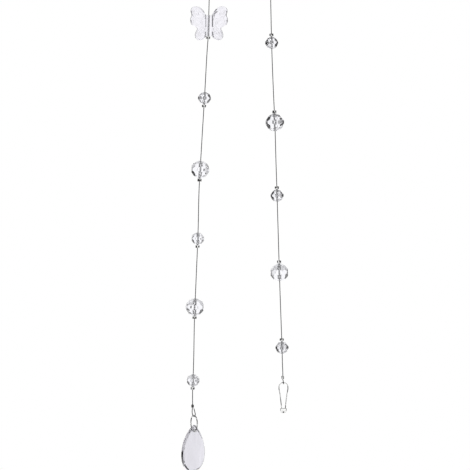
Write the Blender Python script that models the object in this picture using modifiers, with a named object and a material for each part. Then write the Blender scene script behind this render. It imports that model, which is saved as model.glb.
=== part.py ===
"""One string of a bead curtain: clear cut beads, a clear butterfly, a pear-shaped drop and a bulb pin.

The string hangs doubled over a curtain pole, which is left out. Its left length ends in a ring and a drop,
and its right length in the pin. Metres, +Z up. The origin is the point of the string that rests on the top
of the pole, and the string hangs in the XZ plane, seen from -Y.
"""

import math
from collections import namedtuple

import bmesh
import bpy
from mathutils import Matrix, Vector

MM = 0.001
GAP = 0.3 * MM
FINE_MERGE = 0.001 * MM
SMOOTH_BELOW = math.radians(25)
TURN_SIDES = 16
ROUND_PROFILE = 0.5

POLE_RADIUS = 22.5 * MM
STRING_RADIUS = 0.35 * MM
STRING_STEP = 18.0 * MM
ROUTE_STEP = 1.0 * MM
ARCH_STEPS = 12
# The string's end loops: how high their shoulders sit, how far these bulge, how far the end goes into the
# crimp, and in how many steps they go round the wire.
LOOP_SHOULDER = 0.45
LOOP_BULGE = 1.05
LOOP_END = 0.25
LOOP_STEPS = 4

SMALL_BEAD = 10.5 * MM
LARGE_BEAD = 15.0 * MM
BORE_RADIUS = 0.7 * MM
BORE_MOUTH = 0.9 * MM
BORE_CHAMFER = 0.3 * MM

STOP_RADIUS = 1.6 * MM
STOP_LENGTH = 2.2 * MM
CRIMP_RADIUS = 1.0 * MM
CRIMP_LENGTH = 2.4 * MM
SLEEVE_BORE = STRING_RADIUS + GAP
SLEEVE_SHOULDER = 0.35

BUTTERFLY_CENTRE = Vector((-25.3, 0, -162.3)) * MM
WING_THICKNESS = 3.0 * MM
WING_ROUNDING = 1.0 * MM
WING_ROUNDING_STEPS = 1
WING_OUTLINE_STEPS = 4
BODY_WIDTH = 5.2 * MM
BODY_DEPTH = 4.8 * MM
BODY_LENGTH = 16.6 * MM
BODY_EDGE = 1.0 * MM
BODY_EDGE_STEPS = 2
BODY_DROP = 2.3 * MM
BODY_BORE = 0.75 * MM
BODY_BORE_SIDE = -0.35 * MM
BODY_BORE_LEAN = math.radians(1.5)

PENDANT_TURN = math.radians(25)
PENDANT_LEAN = math.radians(3)
RING_RADIUS = 6.2 * MM
RING_WIRE = 0.45 * MM
RING_CENTRE = Vector((-37.3, 0, -482.5)) * MM
RING_STEPS = 36
RING_SLIT = 0.6 * MM
RING_SLIT_AT = math.radians(35)
PENDANT_LOOP = Vector((-1.1, 0, 6.1)) * MM

DROP_HEIGHT = 37.4 * MM
DROP_WIDTH = 20.0 * MM
DROP_THICKNESS = 5.0 * MM
DROP_RIM = 2.0 * MM
DROP_TAPER = 0.6
DROP_SIDES = 28
DROP_BEVEL_ANGLE = math.radians(58)
DROP_HOLE_RADIUS = 1.25 * MM
DROP_HOLE_RISE = 0.18 * MM
DROP_TIP_ABOVE_HOLE = 4.6 * MM

PIN_TOP = Vector((34.2, 0, -450.2)) * MM
PIN_WIRE = 0.35 * MM
PIN_STEP = 1.2 * MM
PIN_LOOP = Vector((-0.5, 0, 3.0)) * MM
CAP_WIDTH = 5.0 * MM
CAP_HEIGHT = 4.0 * MM
CAP_THICKNESS = 2.1 * MM
CAP_WALL = 0.4 * MM
CAP_TOP = -20.4 * MM
CAP_CORNER = 2.3 * MM
CAP_CORNER_STEPS = 5

# The long flats of the drop's back on each side: their tilt in degrees, and where from the middle they begin.
Flute = namedtuple("Flute", "tilt start")
DROP_FLUTES = (Flute(6, 1.3 * MM), Flute(13, 4.2 * MM), Flute(21, 6.8 * MM))

# The string's route in millimetres, x and z, from the bottom of each length up to the pole.
LEFT_LENGTH = (
    (-38.5, -466.0), (-38.5, -457.0), (-38.1, -448.0), (-37.6, -431.0), (-37.0, -400.0), (-35.7, -368.0),
    (-34.1, -329.0), (-33.3, -296.0), (-31.5, -264.0), (-28.6, -216.0), (-26.8, -184.0), (-25.8, -170.0),
    (-25.5, -155.0), (-25.1, -140.0), (-23.4, -84.0),
)
RIGHT_LENGTH = (
    (33.7, -443.6), (33.4, -436.0), (33.1, -424.0), (32.4, -404.0), (31.4, -376.0), (30.7, -354.0),
    (29.8, -324.0), (29.1, -300.0), (28.3, -276.0), (27.3, -242.0), (26.2, -218.0), (24.9, -184.0),
    (24.0, -144.0), (23.1, -84.0),
)

# Half of the butterfly in millimetres from its middle, from the head round the wings to the tail.
WING_OUTLINE = (
    (1.6, 5.2), (2.9, 7.0), (5.3, 10.6), (9.0, 12.9), (13.2, 12.4), (14.7, 9.8), (14.0, 6.0), (15.1, 2.6),
    (13.8, -1.5), (11.0, -3.2), (9.6, -4.6), (10.6, -7.2), (11.3, -10.2), (10.0, -13.2), (6.8, -13.9),
    (3.8, -12.6), (1.6, -10.4),
)

# Half of the pin's wire in millimetres from the top of its bulb, down to the end inside the cap.
PIN_HALF = (
    (0, 0), (1.8, -0.4), (3.1, -1.8), (3.6, -4.2), (3.3, -6.6), (2.8, -9.2), (2.4, -12.2), (2.0, -15.6),
    (1.6, -19.4), (1.45, -20.8), (1.45, -22.2),
)

# A cut stone's facets, ground on a blank: their tilt from the equator, how many, whether the row is turned
# half a facet, and how far from the centre they lie. Above the equator, towards the stop, the stone tapers more.
BLANK_SIZE = 3
Row = namedtuple("Row", "tilt count half_turn distance")
BEAD_ROWS = (
    Row(0, 8, False, 0.965),
    Row(36, 8, True, 0.94),
    Row(-30, 8, True, 0.955),
    Row(62, 8, False, 0.98),
    Row(-60, 8, False, 0.955),
    Row(90, 1, False, 1.0),
    Row(-90, 1, False, 0.94),
)

# Every bead from the drop's end to the pin's end: which length it is on, its depth below the pole's top in
# millimetres, and how far it is turned on the string in degrees.
Bead = namedtuple("Bead", "side size depth turn")
BEADS = (
    Bead("left", "small", 448.5, 36),
    Bead("left", "large", 389.9, 6),
    Bead("left", "small", 335.1, 39),
    Bead("left", "large", 279.9, 38),
    Bead("left", "small", 222.7, 15),
    Bead("left", "small", 102.9, 30),
    Bead("left", "large", 46.5, 12),
    Bead("right", "small", 60.4, 24),
    Bead("right", "large", 118.5, 36),
    Bead("right", "small", 178.3, 27),
    Bead("right", "large", 241.9, 15),
    Bead("right", "small", 300.5, 16),
    Bead("right", "large", 361.9, 42),
    Bead("right", "small", 422.1, 18),
)


def clear_scene():
    for obj in list(bpy.data.objects):
        bpy.data.objects.remove(obj, do_unlink=True)


def new_collection(name):
    collection = bpy.data.collections.new(name)
    bpy.context.scene.collection.children.link(collection)
    return collection


def new_material(name, colour, roughness, metallic=0.0, transmission=0.0):
    material = bpy.data.materials.new(name)
    material.use_nodes = True
    shader = material.node_tree.nodes["Principled BSDF"]
    shader.inputs["Base Color"].default_value = (*colour, 1)
    shader.inputs["Roughness"].default_value = roughness
    shader.inputs["Metallic"].default_value = metallic
    shader.inputs["Transmission Weight"].default_value = transmission
    return material


def place(name, data, collection, material=None):
    obj = bpy.data.objects.new(name, data)
    collection.objects.link(obj)
    if material:
        data.materials.clear()
        data.materials.append(material)
    return obj


def mesh_from(bm, name):
    mesh = bpy.data.meshes.new(name)
    bmesh.ops.recalc_face_normals(bm, faces=bm.faces)
    bm.to_mesh(mesh)
    bm.free()
    return mesh


def baked(obj, name):
    """The object's shape with its modifiers, as a mesh in the scene's own place, and the object removed."""
    bpy.context.view_layer.update()
    graph = bpy.context.evaluated_depsgraph_get()
    mesh = bpy.data.meshes.new_from_object(obj.evaluated_get(graph), depsgraph=graph)
    mesh.name = name
    mesh.transform(obj.matrix_world)
    bm = bmesh.new()
    bm.from_mesh(mesh)
    bmesh.ops.remove_doubles(bm, verts=bm.verts, dist=FINE_MERGE)
    bm.to_mesh(mesh)
    bm.free()
    mesh.shade_smooth()
    mesh.set_sharp_from_angle(angle=SMOOTH_BELOW)
    bpy.data.objects.remove(obj, do_unlink=True)
    return mesh


def helper(name, data, collection):
    """A cutter or a blank that isn't part of the curtain."""
    obj = place(name, data, collection)
    obj.hide_render = True
    obj.display_type = "WIRE"
    return obj


def boolean(obj, other, operation):
    modifier = obj.modifiers.new(operation.title(), "BOOLEAN")
    modifier.operation = operation
    modifier.object = other


def joined(name, mesh, operations, cutters):
    """The mesh after each (operation, other mesh) in turn."""
    obj = helper(name + "_blank", mesh, cutters)
    for count, (operation, other) in enumerate(operations):
        boolean(obj, helper(f"{name}_tool_{count}", other, cutters), operation)
    return baked(obj, name)


def smooth_route(points, step):
    """Points of one smooth curve through the given ones, at most a step apart."""
    spans = [(b - a).length for a, b in zip(points, points[1:])]
    tangents = [(points[1] - points[0]) / spans[0]]
    for i in range(1, len(points) - 1):
        before = (points[i] - points[i - 1]) / spans[i - 1]
        after = (points[i + 1] - points[i]) / spans[i]
        tangents.append((before * spans[i] + after * spans[i - 1]) / (spans[i - 1] + spans[i]))
    tangents.append((points[-1] - points[-2]) / spans[-1])
    route = []
    for i, span in enumerate(spans):
        count = max(1, math.ceil(span / step))
        for k in range(count):
            t = k / count
            route.append(
                points[i] * (2 * t**3 - 3 * t**2 + 1)
                + tangents[i] * span * (t**3 - 2 * t**2 + t)
                + points[i + 1] * (3 * t**2 - 2 * t**3)
                + tangents[i + 1] * span * (t**3 - t**2)
            )
    return route + [points[-1]]


def loop_round(centre, across, reach, wire_radius):
    """The string's end loop, from its cut tail under the sleeve round a wire and back up to that sleeve."""
    height = reach.length
    turn = wire_radius + GAP + STRING_RADIUS
    tail_side = 2 * STRING_RADIUS + 0.5 * GAP
    shoulder = LOOP_SHOULDER * height
    flat = [(tail_side, height - GAP - STRING_RADIUS), (LOOP_BULGE * turn, shoulder)]
    flat += [
        (turn * math.cos(angle), -turn * math.sin(angle))
        for angle in (math.pi * k / LOOP_STEPS for k in range(LOOP_STEPS + 1))
    ]
    flat += [(-LOOP_BULGE * turn, shoulder), (0, height + LOOP_END * CRIMP_LENGTH)]
    return [centre + across * side + reach.normalized() * rise for side, rise in flat]


def string_points():
    ring_top = RING_CENTRE + Vector((0, 0, RING_RADIUS))
    pendant_across = Vector((math.cos(PENDANT_TURN), math.sin(PENDANT_TURN), 0))
    turn = POLE_RADIUS + STRING_RADIUS
    arch = [
        Vector((-turn * math.cos(angle), 0, turn * math.sin(angle) - POLE_RADIUS))
        for angle in (math.pi * k / ARCH_STEPS for k in range(ARCH_STEPS + 1))
    ]
    return (
        loop_round(ring_top, pendant_across, PENDANT_LOOP, RING_WIRE)
        + [Vector((x, 0, z)) * MM for x, z in LEFT_LENGTH]
        + arch
        + [Vector((x, 0, z)) * MM for x, z in reversed(RIGHT_LENGTH)]
        + loop_round(PIN_TOP, Vector((0, 1, 0)), PIN_LOOP, PIN_WIRE)[::-1]
    )


def tube(name, points, radius, collection, bevel_resolution=2):
    curve = bpy.data.curves.new(name, "CURVE")
    curve.dimensions = "3D"
    curve.bevel_depth = radius
    curve.bevel_resolution = bevel_resolution
    curve.use_fill_caps = True
    spline = curve.splines.new("POLY")
    spline.points.add(len(points) - 1)
    for target, point in zip(spline.points, points):
        target.co = (*point, 1)
    return place(name, curve, collection)


def on_string(route, side, depth):
    """Where a length of the string crosses a depth below the pole, and its direction there, upwards."""
    sign = -1 if side == "left" else 1
    for a, b in zip(route, route[1:]):
        if sign * a.x > 0 and min(a.z, b.z) <= -depth < max(a.z, b.z):
            upward = (b - a).normalized() * (1 if b.z > a.z else -1)
            return a.lerp(b, (-depth - a.z) / (b.z - a.z)), upward
    raise ValueError(f"the {side} length has no point {depth} below the pole")


def stand_along(obj, spot, upward, turn=0.0, upside_down=False):
    """Puts a piece made round +Z on the string, turned round it, and its +Z end down if asked."""
    lean = Vector((0, 0, 1)).rotation_difference(upward).to_matrix()
    over = Matrix.Rotation(math.pi if upside_down else 0.0, 3, "Y")
    obj.location = spot
    obj.rotation_euler = (lean @ over @ Matrix.Rotation(turn, 3, "Z")).to_euler()


def turned(name, profile, collection):
    """A shape turned about Z from (radius, height) pairs down its outer side and back to the start."""
    mesh = bpy.data.meshes.new(name)
    points = [(radius, 0, height) for radius, height in profile]
    mesh.from_pydata(points, [(i, i + 1) for i in range(len(points) - 1)], [])
    obj = helper(name, mesh, collection)
    screw = obj.modifiers.new("Turn", "SCREW")
    screw.steps = screw.render_steps = TURN_SIDES
    screw.use_merge_vertices = True
    screw.merge_threshold = FINE_MERGE
    return obj


def cut_facets(bm, planes):
    """Grinds a flat on a convex blank for each plane, given by its normal and how far it is from the centre."""
    for normal, distance in planes:
        cut = bmesh.ops.bisect_plane(
            bm,
            geom=bm.verts[:] + bm.edges[:] + bm.faces[:],
            dist=FINE_MERGE,
            plane_co=normal * distance,
            plane_no=normal,
            clear_outer=True,
        )
        edges = [item for item in cut["geom_cut"] if isinstance(item, bmesh.types.BMEdge)]
        if edges:
            bmesh.ops.edgeloop_fill(bm, edges=edges)


def row_planes(rows):
    for row in rows:
        tilt = math.radians(row.tilt)
        for k in range(row.count):
            angle = 2 * math.pi * (k + 0.5 * row.half_turn) / row.count
            level = math.cos(tilt)
            yield Vector((level * math.cos(angle), level * math.sin(angle), math.sin(tilt))), row.distance


def bore_cutter(name, length, radius, cutters):
    """A drilled hole along Z that opens out a little at both mouths."""
    half = length / 2
    mouth = BORE_MOUTH + BORE_CHAMFER
    profile = (
        (0, half + BORE_CHAMFER),
        (mouth, half + BORE_CHAMFER),
        (radius, half - BORE_CHAMFER),
        (radius, BORE_CHAMFER - half),
        (mouth, -half - BORE_CHAMFER),
        (0, -half - BORE_CHAMFER),
    )
    return baked(turned(name, profile, cutters), name)


def bead_mesh(name, diameter, cutters):
    """A round stone of staggered rows of facets, drilled through, and how high it stands on its flats."""
    bm = bmesh.new()
    bmesh.ops.create_cube(bm, size=BLANK_SIZE)
    cut_facets(bm, row_planes(BEAD_ROWS))
    widest = max(vert.co.xy.length for vert in bm.verts)
    scale = diameter / 2 / widest
    bmesh.ops.scale(bm, vec=(scale,) * 3, verts=bm.verts)
    bmesh.ops.remove_doubles(bm, verts=bm.verts, dist=FINE_MERGE)
    ends = [vert.co.z for vert in bm.verts]
    bmesh.ops.translate(bm, vec=(0, 0, -(min(ends) + max(ends)) / 2), verts=bm.verts)
    height = max(ends) - min(ends)
    stone = mesh_from(bm, name)
    bore = bore_cutter(name + "_bore", height, BORE_RADIUS, cutters)
    return joined(name, stone, [("DIFFERENCE", bore)], cutters), height


def sleeve_mesh(name, radius, length, cutters):
    """A short barrel with rounded shoulders and a hole along Z."""
    half = length / 2
    shoulder = SLEEVE_SHOULDER * (radius - SLEEVE_BORE)
    profile = (
        (SLEEVE_BORE, half),
        (radius - shoulder, half),
        (radius, half - 2 * shoulder),
        (radius, 2 * shoulder - half),
        (radius - shoulder, -half),
        (SLEEVE_BORE, -half),
        (SLEEVE_BORE, half),
    )
    return baked(turned(name, profile, cutters), name)


def butterfly_mesh(cutters):
    """Flat wings with rounded edges on a thicker straight body, which is drilled along the string."""
    outline = list(WING_OUTLINE) + [(-x, z) for x, z in reversed(WING_OUTLINE)]
    curve = bpy.data.curves.new("wings", "CURVE")
    curve.dimensions = "2D"
    curve.fill_mode = "BOTH"
    curve.extrude = WING_THICKNESS / 2 - WING_ROUNDING
    curve.bevel_depth = WING_ROUNDING
    curve.bevel_resolution = WING_ROUNDING_STEPS
    curve.offset = -WING_ROUNDING
    curve.resolution_u = WING_OUTLINE_STEPS
    spline = curve.splines.new("BEZIER")
    spline.use_cyclic_u = True
    spline.bezier_points.add(len(outline) - 1)
    for target, (x, z) in zip(spline.bezier_points, outline):
        target.co = (x * MM, z * MM, 0)
        target.handle_left_type = target.handle_right_type = "AUTO"
    wings = helper("wings", curve, cutters)
    wings.rotation_euler = (math.pi / 2, 0, 0)

    bm = bmesh.new()
    bmesh.ops.create_cube(bm, size=1)
    bmesh.ops.scale(bm, vec=(BODY_WIDTH, BODY_DEPTH, BODY_LENGTH), verts=bm.verts)
    bmesh.ops.bevel(
        bm,
        geom=bm.edges[:],
        offset=BODY_EDGE,
        segments=BODY_EDGE_STEPS,
        affect="EDGES",
        profile=ROUND_PROFILE,
    )
    bmesh.ops.translate(bm, vec=(0, 0, -BODY_DROP), verts=bm.verts)
    body = mesh_from(bm, "body")
    bore = bore_cutter("body_bore", BODY_LENGTH, BODY_BORE, cutters)
    bore.transform(Matrix.Rotation(BODY_BORE_LEAN, 4, "Y"))
    bore.transform(Matrix.Translation((BODY_BORE_SIDE, 0, -BODY_DROP)))
    return joined("butterfly", baked(wings, "wings"), [("UNION", body), ("DIFFERENCE", bore)], cutters)


def drop_outline():
    """A pear shape, measured from its middle, from beside its tip all the way round."""
    outline = []
    for k in range(DROP_SIDES):
        t = 2 * math.pi * (k + 0.5) / DROP_SIDES
        across = math.sin(t) * abs(math.sin(t / 2)) ** DROP_TAPER
        outline.append(Vector((across, 0, DROP_HEIGHT / 2 * math.cos(t))))
    fullest = max(point.x for point in outline)
    for point in outline:
        point.x *= DROP_WIDTH / 2 / fullest
    return outline


def flute_planes():
    """The long flats of the drop's back, each starting where the one before it ends."""
    height = DROP_THICKNESS / 2
    last = Flute(0, 0)
    for flute in DROP_FLUTES:
        height -= (flute.start - last.start) * math.tan(math.radians(last.tilt))
        last = flute
        for side in (-1, 1):
            angle = math.radians(side * flute.tilt)
            normal = Vector((math.sin(angle), math.cos(angle), 0))
            yield normal, normal.dot(Vector((side * flute.start, height, 0)))


def drop_mesh(cutters):
    """A pear-shaped slab with a ground bevel all round, long flutes on its back and a hole near the tip."""
    outline = drop_outline()
    bm = bmesh.new()
    depth = Vector((0, DROP_THICKNESS, 0))
    face = bm.faces.new([bm.verts.new(point + depth / 2) for point in outline])
    pushed = bmesh.ops.extrude_face_region(bm, geom=[face])["geom"]
    back = [item for item in pushed if isinstance(item, bmesh.types.BMVert)]
    bmesh.ops.translate(bm, vec=-depth, verts=back)

    planes = []
    for a, b in zip(outline, outline[1:] + outline[:1]):
        edge = (b - a).normalized()
        outward = Vector((-edge.z, 0, edge.x))
        if outward.dot(a) < 0:
            outward.negate()
        for side in (-1, 1):
            normal = outward * math.sin(DROP_BEVEL_ANGLE) + Vector((0, side * math.cos(DROP_BEVEL_ANGLE), 0))
            planes.append((normal, normal.dot(a + Vector((0, side * DROP_RIM / 2, 0)))))
    planes += flute_planes()
    cut_facets(bm, planes)
    bmesh.ops.remove_doubles(bm, verts=bm.verts, dist=FINE_MERGE)
    # From here the origin is the middle of the ring's wire, which the drop hangs on.
    tip = DROP_HOLE_RISE + DROP_TIP_ABOVE_HOLE
    bmesh.ops.translate(bm, vec=(0, 0, tip - DROP_HEIGHT / 2), verts=bm.verts)
    slab = mesh_from(bm, "drop")

    bm = bmesh.new()
    bmesh.ops.create_cone(
        bm,
        cap_ends=True,
        segments=TURN_SIDES,
        radius1=DROP_HOLE_RADIUS,
        radius2=DROP_HOLE_RADIUS,
        depth=2 * DROP_THICKNESS,
        matrix=Matrix.Translation((0, 0, DROP_HOLE_RISE)) @ Matrix.Rotation(math.pi / 2, 4, "X"),
    )
    return joined("drop", slab, [("DIFFERENCE", mesh_from(bm, "drop_hole"))], cutters)


def ring_points():
    """The jump ring's wire, open by one small slit, in its own upright plane."""
    slit = RING_SLIT / RING_RADIUS
    facing = Vector((math.sin(PENDANT_TURN), -math.cos(PENDANT_TURN), 0))
    for k in range(RING_STEPS + 1):
        angle = RING_SLIT_AT + slit / 2 + (2 * math.pi - slit) * k / RING_STEPS
        yield RING_CENTRE + RING_RADIUS * (facing * math.cos(angle) + Vector((0, 0, math.sin(angle))))


def is_along_y(edge):
    return edge.verts[0].co.xz == edge.verts[1].co.xz


def pin_cap_mesh(cutters):
    """A flat cap with round lower corners, open at the top for both ends of the wire."""
    bm = bmesh.new()
    bmesh.ops.create_cube(bm, size=1)
    bmesh.ops.scale(bm, vec=(CAP_WIDTH, CAP_THICKNESS, CAP_HEIGHT), verts=bm.verts)
    low = [v for v in bm.verts if v.co.z < 0]
    corners = [edge for edge in bm.edges if all(v in low for v in edge.verts) and is_along_y(edge)]
    bmesh.ops.bevel(
        bm,
        geom=corners,
        offset=CAP_CORNER,
        segments=CAP_CORNER_STEPS,
        affect="EDGES",
        profile=ROUND_PROFILE,
    )
    bmesh.ops.translate(bm, vec=(0, 0, CAP_TOP - CAP_HEIGHT / 2), verts=bm.verts)
    cap = mesh_from(bm, "pin_cap")
    bm = bmesh.new()
    bmesh.ops.create_cube(bm, size=1)
    pocket = (CAP_WIDTH - 2 * CAP_WALL, CAP_THICKNESS - 2 * CAP_WALL, CAP_HEIGHT)
    bmesh.ops.scale(bm, vec=pocket, verts=bm.verts)
    floor = abs(PIN_HALF[-1][1] * MM - CAP_TOP) + GAP
    bmesh.ops.translate(bm, vec=(0, 0, CAP_TOP + CAP_HEIGHT / 2 - floor), verts=bm.verts)
    return joined("pin_cap", cap, [("DIFFERENCE", mesh_from(bm, "pin_pocket"))], cutters)


def build_string(strand, material):
    route = string_points()
    string = tube("string", smooth_route(route, STRING_STEP), STRING_RADIUS, strand, bevel_resolution=0)
    string.data.materials.append(material)
    return smooth_route(route, ROUTE_STEP)


def build_beads(route, strand, cutters, glass, metal):
    """Each bead on the string with its stop: under it on the left length, over it on the right one."""
    meshes = {
        "small": bead_mesh("bead_small", SMALL_BEAD, cutters),
        "large": bead_mesh("bead_large", LARGE_BEAD, cutters),
    }
    stop = sleeve_mesh("stop", STOP_RADIUS, STOP_LENGTH, cutters)
    for number, bead in enumerate(BEADS, 1):
        mesh, height = meshes[bead.size]
        spot, upward = on_string(route, bead.side, bead.depth * MM)
        stone = place(f"bead_{number:02d}_{bead.size}", mesh, strand, glass)
        stand_along(stone, spot, upward, math.radians(bead.turn), bead.side == "left")
        below = 1 if bead.side == "left" else -1
        stop_depth = bead.depth * MM + below * (height + STOP_LENGTH + 2 * GAP) / 2
        sleeve = place(f"stop_{number:02d}", stop, strand, metal)
        stand_along(sleeve, *on_string(route, bead.side, stop_depth))
    return stop


def build_butterfly(route, strand, cutters, acrylic, metal, stop):
    butterfly = place("butterfly", butterfly_mesh(cutters), strand, acrylic)
    butterfly.location = BUTTERFLY_CENTRE
    stop_depth = -BUTTERFLY_CENTRE.z + BODY_DROP + (BODY_LENGTH + STOP_LENGTH) / 2 + GAP
    sleeve = place("stop_butterfly", stop, strand, metal)
    stand_along(sleeve, *on_string(route, "left", stop_depth))


def build_pendant(route, strand, cutters, glass, metal):
    """The crimp over the left loop, the ring in the loop, and the drop on the ring."""
    crimp = place("crimp_drop_end", sleeve_mesh("crimp", CRIMP_RADIUS, CRIMP_LENGTH, cutters), strand, metal)
    loop_top = -(RING_CENTRE.z + RING_RADIUS + PENDANT_LOOP.z)
    stand_along(crimp, *on_string(route, "left", loop_top - CRIMP_LENGTH / 2))
    ring = tube("ring", list(ring_points()), RING_WIRE, strand)
    ring.data.materials.append(metal)
    drop = place("drop", drop_mesh(cutters), strand, glass)
    drop.location = RING_CENTRE - Vector((0, 0, RING_RADIUS))
    lean = Matrix.Rotation(PENDANT_LEAN, 3, "Y")
    drop.rotation_euler = (lean @ Matrix.Rotation(PENDANT_TURN, 3, "Z")).to_euler()
    return crimp.data


def build_pin(route, strand, cutters, metal, crimp_mesh):
    """The bulb pin, which hangs by its round end in the right loop with its cap downwards."""
    crimp = place("crimp_pin_end", crimp_mesh, strand, metal)
    loop_top = -(PIN_TOP.z + PIN_LOOP.z)
    stand_along(crimp, *on_string(route, "right", loop_top - CRIMP_LENGTH / 2))
    hanger = bpy.data.objects.new("pin_hanger", None)
    hanger.location = PIN_TOP
    strand.objects.link(hanger)
    half = [Vector((x, 0, z)) * MM for x, z in PIN_HALF]
    whole = [Vector((-p.x, 0, p.z)) for p in reversed(half[1:])] + half
    wire = tube("pin_wire", smooth_route(whole, PIN_STEP), PIN_WIRE, strand)
    wire.data.materials.append(metal)
    wire.parent = hanger
    cap = place("pin_cap", pin_cap_mesh(cutters), strand, metal)
    cap.parent = hanger


def main():
    clear_scene()
    strand = new_collection("bead_curtain")
    cutters = new_collection("cutters")
    glass = new_material("bead_glass", (0.95, 0.96, 0.97), 0.02, transmission=1.0)
    acrylic = new_material("butterfly_acrylic", (0.93, 0.93, 0.97), 0.08, transmission=1.0)
    drop_glass = new_material("drop_glass", (0.86, 0.86, 0.91), 0.03, transmission=1.0)
    metal = new_material("plated_metal", (0.78, 0.78, 0.77), 0.18, metallic=1.0)
    cord = new_material("string_grey", (0.45, 0.45, 0.44), 0.35)

    route = build_string(strand, cord)
    stop = build_beads(route, strand, cutters, glass, metal)
    build_butterfly(route, strand, cutters, acrylic, metal, stop)
    crimp_mesh = build_pendant(route, strand, cutters, drop_glass, metal)
    build_pin(route, strand, cutters, metal, crimp_mesh)


main()
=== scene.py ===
"""Dresses one string of a bead curtain: cut glass beads, a butterfly, a drop and a pin on a grey string.

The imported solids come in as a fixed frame, and each finer piece is made where its solid lies. Run as a
script, the file registers its panel, makes every piece and the stage, and leaves the scene ready to render.
Metres, +Z up, seen from -Y.
"""

import math
from collections import namedtuple

import bpy
from bpy.props import FloatProperty, FloatVectorProperty, IntProperty, PointerProperty
from mathutils import Matrix, Vector


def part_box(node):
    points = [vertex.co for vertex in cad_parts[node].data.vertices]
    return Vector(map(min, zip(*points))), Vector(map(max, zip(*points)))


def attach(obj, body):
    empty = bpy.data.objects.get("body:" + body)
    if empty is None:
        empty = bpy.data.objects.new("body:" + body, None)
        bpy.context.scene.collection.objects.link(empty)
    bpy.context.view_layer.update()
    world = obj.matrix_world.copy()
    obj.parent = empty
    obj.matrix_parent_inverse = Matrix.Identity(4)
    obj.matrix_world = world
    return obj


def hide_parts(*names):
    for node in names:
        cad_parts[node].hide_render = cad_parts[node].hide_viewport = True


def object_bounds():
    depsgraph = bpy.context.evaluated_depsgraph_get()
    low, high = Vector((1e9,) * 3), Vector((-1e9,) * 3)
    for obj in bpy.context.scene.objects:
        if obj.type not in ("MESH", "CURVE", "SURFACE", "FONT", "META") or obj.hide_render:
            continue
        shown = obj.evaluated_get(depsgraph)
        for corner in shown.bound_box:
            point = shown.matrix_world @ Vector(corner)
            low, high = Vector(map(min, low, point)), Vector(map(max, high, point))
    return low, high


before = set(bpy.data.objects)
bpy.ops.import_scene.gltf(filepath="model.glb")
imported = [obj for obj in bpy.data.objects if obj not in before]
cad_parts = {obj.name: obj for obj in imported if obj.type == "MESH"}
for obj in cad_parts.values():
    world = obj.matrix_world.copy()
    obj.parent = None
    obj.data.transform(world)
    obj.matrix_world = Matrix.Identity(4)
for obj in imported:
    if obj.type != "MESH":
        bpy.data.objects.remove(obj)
CAD_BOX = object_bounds()

bl_info = {
    "name": "Bead Curtain String",
    "version": (1, 0, 0),
    "blender": (4, 5, 0),
    "location": "View3D > Sidebar > Bead Curtain",
    "description": "Makes the pieces of one bead curtain string, and the stage they hang on",
    "category": "Add Mesh",
}

MM = 0.001
GAP = 0.3 * MM
BODY = "root"

POLE_RADIUS = 22.5 * MM
ARCH_STEPS = 12
STRING_STEP = 0.7 * MM
STRING_LOBES = 6
# The longest step along the string where pieces are threaded on it, and along the pin.
THREAD_STEP = 1.0 * MM
PIN_STEP = 0.5 * MM

# The string's end loops: their widest height as a share of the reach, how far they bulge there, and how far
# they end inside their crimp.
LOOP_SHOULDER = 0.45
LOOP_BULGE = 1.05
LOOP_END = 0.25
LOOP_STEPS = 4

FINE_MERGE = 0.001 * MM
FINE_CUT = 1e-6
FINE_SIDES = 32
PLAIN_SIDES = 24
ROUND_STEPS = 4
WHITE = (1.0, 1.0, 1.0)

# How far each bead is turned on the string, in degrees, from the drop's end to the pin's.
BEAD_TURNS = (36, 6, 39, 38, 15, 30, 12, 24, 36, 27, 15, 16, 42, 18)

SLEEVE_BORE = 0.65 * MM
STOP_RADIUS = 1.6 * MM
STOP_LENGTH = 2.2 * MM
CRIMP_RADIUS = 1.0 * MM
CRIMP_LENGTH = 2.4 * MM
SLEEVE_EDGE = 0.05 * MM
# How far each sleeve is turned on the string, in degrees, over and over.
SLEEVE_TURNS = (-24, 0, 24, -12, 12)
# A sleeve's rolled shoulder as a share of its wall, its lip as a share of the roll, and its pressing flat.
SLEEVE_ROLL = 0.45
SLEEVE_LIP = 0.2
SLEEVE_PRESS = (1.04, 0.92, 1, 1)
ROLL_STEPS = 4
# The pinching point, as shares of the sleeve: its width and reach of the radius, and its rise of the length.
JAW_WIDTH = 0.85
JAW_REACH = 0.5
JAW_RISE = 0.18

# The side of the cube that a bead is cut from, in radii of the bead, and how much longer than the bead its
# drill is.
BEAD_BLANK = 3
DRILL_ROOM = 2 * MM

BODY_WIDTH = 5.2 * MM
BODY_DEPTH = 4.8 * MM
BODY_LENGTH = 16.6 * MM
BODY_DROP = 2.3 * MM
BODY_BORE = 0.75 * MM
BODY_BORE_LEAN = math.radians(1.5)
BORE_SIDE = -0.35 * MM
WING_THICKNESS = 3.0 * MM
WING_ROUNDING = 1.1 * MM
# From the butterfly's middle up to the top of its solid.
WING_TOP = 13.1 * MM
WING_STEPS = 10
RIB_STEPS = 8

PENDANT_TURN = math.radians(25)
PENDANT_LEAN = math.radians(3)
# How far the string's loop reaches from the ring up to its crimp.
PENDANT_LOOP = Vector((-1.1, 0, 6.1)) * MM
RING_RADIUS = 6.2 * MM
RING_WIRE = 0.45 * MM
RING_SLIT = 0.6 * MM
RING_SLIT_AT = math.radians(35)

DROP_HEIGHT = 37.4 * MM
DROP_WIDTH = 20.0 * MM
DROP_THICKNESS = 5.0 * MM
DROP_RIM = 2.0 * MM
DROP_TAPER = 0.6
DROP_SIDES = 56
# The ground rim's two bevels, which take turns along the outline.
DROP_BEVEL_ANGLES = (math.radians(72), math.radians(58))
DROP_HOLE_RADIUS = 1.25 * MM
DROP_HOLE_RISE = 0.18 * MM
DROP_TIP_ABOVE_HOLE = 4.6 * MM
MOUTH_PAST_FACE = 0.02 * MM

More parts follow.
